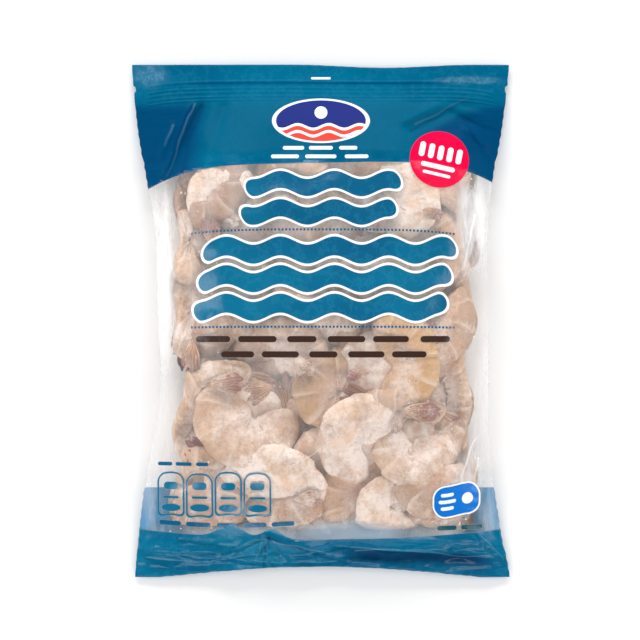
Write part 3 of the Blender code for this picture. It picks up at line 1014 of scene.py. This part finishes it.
def plain_teal(net):
    """Teal of the print, a little uneven, with faint pale crinkles."""
    teal = net.mix(net.grain(14, 2.0).step(0.35, 0.65), TEAL, DEEP_TEAL)
    crinkles = abs(net.grain(70, 6.0, 0.7) - 0.5)
    return net.mix((1 - crinkles.step(0.0, 0.05)) * 0.2, teal, LIGHT_TEAL)


def header_shade(net, teal):
    """Teal of the header with painted shade on its slope, in its folds and under its hem, and painted
    sheen near its top corners.
    """
    x, y = net.x, net.y
    # painted shade: darker teal from where the header rises off the window, less over its flat top
    slope_shade = y.step(96.0, 112.0) * (1 - y.step(132.0, 148.0) * 0.6)
    # painted shade: dark wedges in the folds at both shoulders of the header, and a dark line under the
    # hem
    left = (x * -1.0 + (y - 100.0) * 0.1).step(70.0, 88.0)
    right = (121.0 + (x - 57.0) * 0.43 - y).step(-1.0, 9.0) * x.step(52.0, 82.0)
    folded = left.most(right) * (1 - y.step(133.0, 141.0)) * y.step(70.0, 84.0)
    hem = (1 - abs(y - HEM + 1.2).step(0.3, 1.6)) * 0.6 * (1 - abs(x).step(60.0, 108.0))
    # painted sheen: paler flecked teal near the top corners, standing for reflections of the lights
    flecks = net.grain(240, 5.0, 0.75).step(0.4, 0.7)
    painted_sheen = soft_oval(x, y, (-109.0, 157.0), (13.0, 9.0)) + soft_oval(x, y, (94.0, 153.5), (24.0, 3.0))
    painted_sheen = painted_sheen * (flecks * 0.4 + 0.12)
    folded = folded.most(hem) * 0.85
    return net.paint(teal, (slope_shade * 0.85, SLOPE_SHADE_TEAL), (folded, FOLD_SHADE_TEAL), (painted_sheen, SHEEN_HIGHLIGHT_TEAL))


def foot_shade(net, teal):
    """Teal of the foot, with painted shade in dark patches along its folds and a painted shadow under one
    fold at the right.
    """
    x, y = net.x, net.y
    # painted shade: dark teal patches where the foot's film is drawn into folds
    gully_shade = net.grain(30, 1.0, 0.5, stretch=(1.0, 2.6, 1.0)).step(0.45, 0.75)
    gully_shade = (1 - y.step(-154.0, -141.0)) * gully_shade * 0.5
    # painted shadow: a dark navy band under one fold at the right, sharp at its top and fading downwards
    under = net.grain(40, 3.0, 0.6) * 4.0 - 146.4 - (x - 12.0) * 0.06 - y
    fold_shadow = under.step(0.0, 0.7) * (1 - under.step(3.0, 13.0))
    span = x.step(8.0, 34.0) * (1 - x.step(96.0, 118.0))
    return net.paint(teal, (gully_shade, FOLD_SHADE_TEAL), (fold_shadow * span * 0.8, FOLD_SHADOW_NAVY))


def window_print(net):
    """Print over the window, and the ends' print and painted shade where a face has both."""
    x, y = net.x, net.y
    layers = Print(net, CLEAR, film_haze(net))
    teal = plain_teal(net)
    layers.lay(soft_oval(x, y, (20.0, -134.0), (46.0, 9.0)) * 0.5, PALE_TEAL)
    wave_bands(layers, (0.0, 77.6), (98.0, 29.0), 2, 11.0, 1.5, teal)
    wave_bands(layers, (2.5, 26.6), (160.0, 48.0), 3, 12.0, 1.6, teal)
    bow = (abs(x) / 84.0) ** 4
    layers.lay(dot_row(x, y + bow * 2.6, 57.6).most(dot_row(x, y + bow * 0.6, -3.6)), DEEP_TEAL)
    brown = dash_row(x, y, -82, 86, -11.4, 4.0, 28.0)
    layers.lay(brown.most(dash_row(x, y, -66, 69, -21.0, 4.0, 27.0)), BROWN)
    panel(layers)
    layers.lay((y - header_edge(x)).step(-0.15, 0.15), header_shade(net, teal))
    layers.lay((foot_edge(x) - y).step(-0.15, 0.15), foot_shade(net, teal))
    sticker(layers)
    corner_badge(layers)
    return layers


def panel(layers):
    """Four outlined cells in a row with marks in them, and dashes over and under them."""
    x, y = layers.x, layers.y
    start, pitch, level = -104.5, 18.4, -109.5
    cells = (x - start) / pitch
    local = (cells.part() - 0.5) * pitch
    arch = y + local * local * 0.03 + (cells.whole() * 2.0).wave() * 0.8
    outer = round_box(local, arch, (0.0, level), (17.6, 28.0), 4.6)
    inner = round_box(local, arch, (0.0, level), (15.2, 25.6), 3.6)
    marks = capsule(local, y - (level + 5.0), 4.6, 2.4).most(capsule(local, y - (level - 2.4), 5.0, 0.8))
    lens = 1 - oval(local, y, (0.0, level - 9.0), (6.2, 2.4)).step(0.97, 1.03)
    layers.lay(highest((outer * (1 - inner), marks, lens)) * x.between(start, start + 4 * pitch), TEAL)
    top = dash_row(x, y, -105, -69, -90.6, 2.4, 12.0)
    low = dash_row(x, y - (x + 60.0) * (x + 60.0) * 0.0009, -105, -15, -129.6, 3.0, 18.0)
    layers.lay(top.most(low), DEEP_TEAL)


def header_badge(layers):
    """Oval header badge: a pale rim, a navy field, a disc, and a coral band under two waves."""
    x, y = layers.x, layers.y
    edge = oval(x, y, (0.0, 127.0), (31.0, 14.5))
    field = 1 - edge.step(0.91, 0.93)
    layers.lay(1 - edge.step(0.99, 1.01), PAPER)
    layers.lay(field, NAVY)
    swell = y - (x * 0.32).wave() * 1.5
    layers.lay(field * (1 - swell.step(122.9, 123.1)), CORAL)
    lines = swell.within(123.0, 0.9).most(swell.within(118.5, 0.9)) * field
    disc = 1 - oval(x, y, (0.0, 132.3), (4.0, 4.0)).step(0.98, 1.04)
    rows = ((-26, 26, 109.4, 2.3, 17.3), (-34, 34, 103.9, 2.3, 22.6), (-8, 8, 154.7, 1.4, 16.0))
    layers.lay(highest((lines, disc, *(dash_row(x, y, *row) for row in rows))), PAPER)


def sticker(layers):
    """Round pink-red sticker, tilted, with pale bars."""
    x, y = turn_by(math.radians(12), layers.x - 75.0, layers.y - 102.2)
    layers.lay(1 - oval(x, y, (0, 0), (19.0, 18.2)).step(0.99, 1.01), PINK_RED)
    upright = upright_row(x, y, -15.0, 15.0, 4.4, 9.6, 6.0, 3.6)
    long, short = capsule(x, y + 4.8, 11.0, 1.5), capsule(x, y + 9.6, 9.0, 1.0)
    layers.lay(highest((upright, long, short)), PAPER)


def corner_badge(layers):
    """Bright blue badge with a pale rim, a disc and dashes, and a row of dark dashes under it."""
    x, y = layers.x, layers.y
    lean = y - (x - 86.0) * 0.06 - ((x - 86.0) * 0.2).wave() * 0.8
    layers.lay(round_box(x, lean, (86, -113.5), (31, 21), 8.5), PAPER)
    layers.lay(round_box(x, lean, (86, -113.5), (29, 19), 7.6), BADGE_BLUE)
    rows = ((113.5, 5.6), (109.2, 4.2), (117.8, 4.2))
    dashes = (capsule(x - 80.0, lean + rise, half, 1.1) for rise, half in rows)
    disc = 1 - oval(x, lean, (93.0, -113.5), (3.6, 3.6)).step(0.96, 1.04)
    layers.lay(highest((disc, *dashes)), PAPER)
    layers.lay(dash_row(x, y - x * 0.02, 72, 104, -133.0, 3.0, 16.0), DARK_GREEN)


def film_finish(layers, relief, roughness, gloss):
    net = layers.net
    net.set(Base_Color=layers.shade, Roughness=roughness, Specular_IOR_Level=gloss)
    if layers.cover is not None:
        net.set(Alpha=layers.cover)
    wrinkles = net.grain(90, 4.0, 0.55, stretch=(1.0, 0.35, 1.0))
    creases = abs(net.grain(55, 4.0, 0.6, stretch=(1.0, 0.6, 1.0)) - 0.5)
    return net.set(Normal=net.bump(wrinkles * 0.5 - creases * 1.4 + relief, 1.0 * MM, 0.6))


def window_material():
    return film_finish(window_print(Net("printed window film")), 0.0, 0.24, 0.26)


def header_material():
    net = Net("printed header film")
    shade = header_shade(net, plain_teal(net))
    layers = Print(net, with_crease_shading(net, shade, HEADER_CREASES))
    header_badge(layers)
    sticker(layers)
    relief = header_lines(net) * 0.7 + side_wrinkles(net) * abs(net.x).step(70.0, 112.0) * 1.4
    return film_finish(layers, relief, 0.36, 0.015)


def foot_material():
    net = Net("printed foot film")
    shade = foot_shade(net, plain_teal(net))
    layers = Print(net, with_crease_shading(net, shade, FOOT_CREASES))
    relief = (side_wrinkles(net) + crumple(net) * 2.2) * (1 - net.y.step(-146.0, -136.0))
    return film_finish(layers, relief, 0.2, 0.12)


def film_back_material():
    net = Net("back film")
    layers = Print(net, CLEAR, film_haze(net) + 0.03)
    layers.lay(1 - net.y.within(-1.0, 105.0), PALE_TEAL)
    return film_finish(layers, 0.0, 0.3, 0.26)


# Film

FILM_FOLDS = (
    (-81, 138, -100, 90, 2.2, 3.0),
    (-76, 136, -96, 92, 3.4, -2.6),
    (-94, 124, -102, 104, 2.4, 1.8),
    (-62, 136, -70, 104, 3.4, -1.6),
    (57, 122, 95, 138, 3.4, -2.4),
    (52, 127, 88, 143, 2.6, 1.6),
    (84, 136, 112, 128, 2.0, 2.0),
    (88, 129, 113, 119, 1.8, -1.8),
    (92, 122, 111, 108, 1.8, 1.6),
    (96, 116, 108, 92, 2.2, -1.4),
    (96, 84, 104, 50, 1.8, 1.6),
    (92, 70, 99, 20, 1.6, -1.4),
    (-103, 70, -98, 20, 1.8, 1.2),
    (-98, 10, -97, -50, 1.6, -1.2),
    (-106, -60, -97, -110, 1.8, 1.4),
    (104, -40, 105, -100, 1.6, 1.4),
    (-34, -138, -68, -154, 2.4, 3.6),
    (-34, -138, -50, -162, 2.2, -3.0),
    (-34, -138, -35, -162, 2.0, 3.6),
    (-34, -138, -18, -160, 2.2, -3.0),
    (-34, -138, 4, -152, 2.4, 3.6),
    (8, -143, 104, -148, 3.0, -3.6),
    (20, -153, 108, -155, 2.4, 3.0),
    (-116, -145, -62, -150, 2.4, 3.0),
    (-110, -152, -70, -154, 2.2, -2.4),
    (-90, -140, -40, -146, 2.2, -2.0),
    (114, -153, 94, -135, 2.2, 2.2),
    (114, -153, 104, -132, 1.8, -1.8),
    (112, -146, 101, -126, 1.8, 1.6),
)


def fold_relief(x, y):
    """Creases along straight lines, as soft ridges and grooves."""
    relief = np.zeros(x.shape)
    for row in FILM_FOLDS:
        x0, y0, x1, y1, half, rise = (value * MM for value in row)
        run_x, run_y = x1 - x0, y1 - y0
        t = np.clip(((x - x0) * run_x + (y - y0) * run_y) / (run_x ** 2 + run_y ** 2), 0, 1)
        away = np.hypot(x - x0 - t * run_x, y - y0 - t * run_y)
        relief += rise * np.exp(-(away / half) ** 2) * (1 - 0.7 * t ** 2)
    return relief


def edges(axis, count, inset=0.0):
    """Places along one axis, and where the solid starts and ends across it at each."""
    points = points_of(POUCH.data)
    places = np.linspace(LOW[axis] + inset, HIGH[axis] - inset, count)
    across = [points[np.abs(points[:, axis] - place) < EDGE_REACH, 1 - axis] for place in places]
    return places, [near.min() for near in across], [near.max() for near in across]


def film_plan():
    """X and Y of every point of the film, and how far in from the sides it lies."""
    u, v = np.meshgrid(np.linspace(-1, 1, FILM_COLUMNS + 1), np.linspace(0, 1, FILM_ROWS + 1))
    ys, left, right = edges(1, 110)
    xs, low, high = edges(0, 80, 1 * MM)
    guess = LOW.y + (HIGH.y - LOW.y) * v
    left, right = np.interp(guess, ys, left), np.interp(guess, ys, right)
    x = np.where(u < 0, -u * left, u * right)
    y = np.interp(x, xs, low) * (1 - v) + np.interp(x, xs, high) * v
    inward = np.minimum(x - left, right - x)
    notch = NOTCH_DEPTH * np.clip(1 - np.abs(y - NOTCH_AT) / NOTCH_HALF, 0, 1)
    x = x - np.sign(x) * notch * (np.abs(u) > 0.999)
    return x, y, inward


def draw_tight(z, fixed, low, high, steps=260):
    """Film drawn tight over what lies under it, within a range of heights."""
    for _ in range(steps):
        inner = (z[:-2, 1:-1] + z[2:, 1:-1] + z[1:-1, :-2] + z[1:-1, 2:]) / 4 + FILM_PULL
        inner = np.clip(inner, low[1:-1, 1:-1], high[1:-1, 1:-1])
        z[1:-1, 1:-1] = np.where(fixed[1:-1, 1:-1], z[1:-1, 1:-1], inner)
    return z


def film_heights(ceiling, floor, contents_top):
    x, y, inward = film_plan()
    solid_top, solid_under = ceiling.at(x, y), floor.at(x, y)
    sealed = (inward < SIDE_SEAL) | (y > HEADER_FLAT) | (y < FOOT_FLAT)
    middle = (solid_top + solid_under) / 2
    thin = np.clip((solid_top - solid_under) / 2 - SHEET / 2, 0, None)
    flat_top = middle + thin + FILM_GAP
    top = np.where(sealed, flat_top, solid_top)
    pressed = contents_top.at(x, y) + FILM_CLEAR
    held = np.maximum(pressed, solid_top - FILM_SINK * (1.05 - under_print(y)))
    limit = solid_top + (1.6 + 3.4 * under_print(y)) * MM
    low = np.minimum(np.maximum(held, middle + FILM_GAP), limit)
    top = draw_tight(top, sealed, low, limit)
    top = top + fold_relief(x, y) * smooth_step(0, 5 * MM, inward) * np.where(sealed, 0.45, 0.8)
    places = zip(x.ravel(), y.ravel())
    ripples = np.array([noise.noise(Vector((a * 55, b * 14, 3.1))) for a, b in places])
    margin = smooth_step(0, 4 * MM, inward) * (1 - smooth_step(12 * MM, 22 * MM, inward))
    top = top + ripples.reshape(x.shape) * margin * 1.1 * MM
    top = np.where(sealed, top, np.maximum(top, pressed))
    under = np.where(sealed, np.minimum(middle - thin - FILM_GAP, top - 2 * FILM_GAP), solid_under)
    under = np.minimum(under, top - 2 * FILM_GAP)
    return x, y, np.clip(top, 0.4 * MM, HIGH.z), np.clip(under, 0.05 * MM, None)


def film_sheet(mesh, x, y, z, upward, material_index):
    rows, columns = x.shape
    made = bmesh.ops.create_grid(mesh, x_segments=columns - 1, y_segments=rows - 1, size=1.0)
    for point in made["verts"]:
        column = round((point.co.x + 1) / 2 * (columns - 1))
        row = round((point.co.y + 1) / 2 * (rows - 1))
        point.co = (x[row, column], y[row, column], z[row, column])
    faces = {face for point in made["verts"] for face in point.link_faces}
    for face in faces:
        middle = face.calc_center_median()
        face.material_index = material_index
        if upward and middle.y / MM > header_edge(middle.x / MM) + INK_MARGIN:
            face.material_index = HEADER
        if upward and middle.y / MM < foot_edge(middle.x / MM) - INK_MARGIN:
            face.material_index = FOOT
    if not upward:
        bmesh.ops.reverse_faces(mesh, faces=list(faces))
    return [edge for face in faces for edge in face.edges if edge.is_boundary]


def build_film(ceiling, floor, contents_top):
    x, y, top, under = film_heights(ceiling, floor, contents_top)
    mesh = bmesh.new()
    edges = film_sheet(mesh, x, y, top, True, FRONT)
    edges += film_sheet(mesh, x, y, under, False, BACK)
    bmesh.ops.bridge_loops(mesh, edges=list(set(edges)))
    bmesh.ops.recalc_face_normals(mesh, faces=mesh.faces)
    film = new_object("film", finish_mesh(mesh, "film"))
    for material in (window_material(), film_back_material(), header_material(), foot_material()):
        film.data.materials.append(material)
    return film


# Stage

CAMERA_HEIGHT = 2.4
PHOTO_WIDTH = 0.4074            # what the photo's frame spans at the pouch
SENSOR = 36.0


def build_stage():
    mesh = bmesh.new()
    bmesh.ops.create_grid(mesh, x_segments=1, y_segments=1, size=3.0)
    floor = new_object("floor", finish_mesh(mesh, "floor", False))
    floor.location.z = -0.0004
    net = Net("pale floor")
    net.set(Base_Color=(0.92, 0.92, 0.92, 1.0), Roughness=0.9)
    floor.data.materials.append(net.material)


def add_light(name, place, size, power):
    data = bpy.data.lights.new(name, "AREA")
    data.shape = "RECTANGLE"
    data.size, data.size_y = size
    data.energy = power
    light = new_object(name, data)
    light.location = place
    aim = Vector((0, 0, 0.02)) - Vector(place)
    light.rotation_euler = aim.to_track_quat("-Z", "Y").to_euler()


def build_light():
    world = bpy.data.worlds.new("studio")
    bpy.context.scene.world = world
    world.use_nodes = True
    background = world.node_tree.nodes["Background"]
    background.inputs["Color"].default_value = (1.0, 1.0, 1.0, 1.0)
    background.inputs["Strength"].default_value = 0.285
    add_light("key", (-0.1, 1.9, 0.9), (2.0, 0.9), 46)
    add_light("right", (1.7, -0.1, 0.8), (0.7, 1.4), 16)
    add_light("left", (-1.7, 0.1, 0.8), (0.7, 1.4), 16)
    add_light("low", (0.0, -1.7, 0.8), (1.4, 0.7), 20.5)
    bpy.context.scene.view_settings.view_transform = "Standard"


def build_camera():
    data = bpy.data.cameras.new("camera")
    data.sensor_width = SENSOR
    data.lens = SENSOR * CAMERA_HEIGHT / PHOTO_WIDTH
    camera = new_object("camera", data)
    camera.location = (-0.0006, 0.0006, CAMERA_HEIGHT + 0.01)
    bpy.context.scene.camera = camera


# Contents

def build_contents(ceiling, floor):
    shell, front_blade, blade = shell_template(), blade_template(8, 14), blade_template(5, 8)
    leg, ice = blade_template(5, 6), ice_template(3)
    skin = shell_material()
    finishes = {"shrimp_front": skin, "shrimp_under": skin, "tail_fans": fan_material(),
                "swimmerets": leg_material(), "ice_in_curls": ice_material(),
                "frost_crumbs": crumb_material()}
    kinds = {name: [] for name in finishes}

    def keep(kind, data, over=0.0):
        data.vertices.foreach_set("co", press(points_of(data), floor, ceiling, over).ravel())
        kinds[kind].append(data)

    def add_shrimp(shrimp, kind, fan, hand):
        points, numbers = shell_points(points_of(shell), shrimp)
        keep(kind, shaped_copy(shell, points, numbers))
        for data in fan_meshes(fan, shrimp):
            keep("tail_fans", data)
        for data in leg_meshes(leg, shrimp, hand):
            keep("swimmerets", data)

    for row in FRONT_SHRIMP:
        shrimp = Shrimp(*row)
        shrimp.settle_under(ceiling)
        add_shrimp(shrimp, "shrimp_front", front_blade, 1)
        if abs(row[3]) > 170:
            keep("ice_in_curls", shaped_copy(ice, ice_points(points_of(ice), shrimp), shrimp.finish))
    for count, seed, roll_side, gap in ((20, 5, -1, 0.5 * MM), (12, 9, 1, 13 * MM)):
        for row in lower_shrimp(count, seed, roll_side):
            shrimp = Shrimp(*row)
            shrimp.settle_on(floor, gap)
            add_shrimp(shrimp, "shrimp_under", blade, -1)

    for data in shown_fan_meshes(front_blade, ceiling):
        keep("tail_fans", data, 1.6 * MM)
    kinds["frost_crumbs"] += crumb_meshes(ceiling)
    return [join_meshes(name, meshes, finishes[name]) for name, meshes in kinds.items()]


def main():
    solid = tree_of(POUCH)
    ceiling, floor = HeightMap(solid, 1).soften(20), HeightMap(solid, -1).soften(6)
    pieces = build_contents(ceiling, floor)
    contents_top = HeightMap(tree_of(*pieces), 1, spread=1).soften(3)
    film = build_film(ceiling, floor, contents_top)
    film_map = HeightMap(tree_of(film), 1, 1.0 * MM)
    for piece in pieces:
        hold_under(piece, film_map)
    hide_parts("pouch")
    for piece in (film, *pieces):
        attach(piece, "root")
    build_stage()
    build_light()
    build_camera()


main()
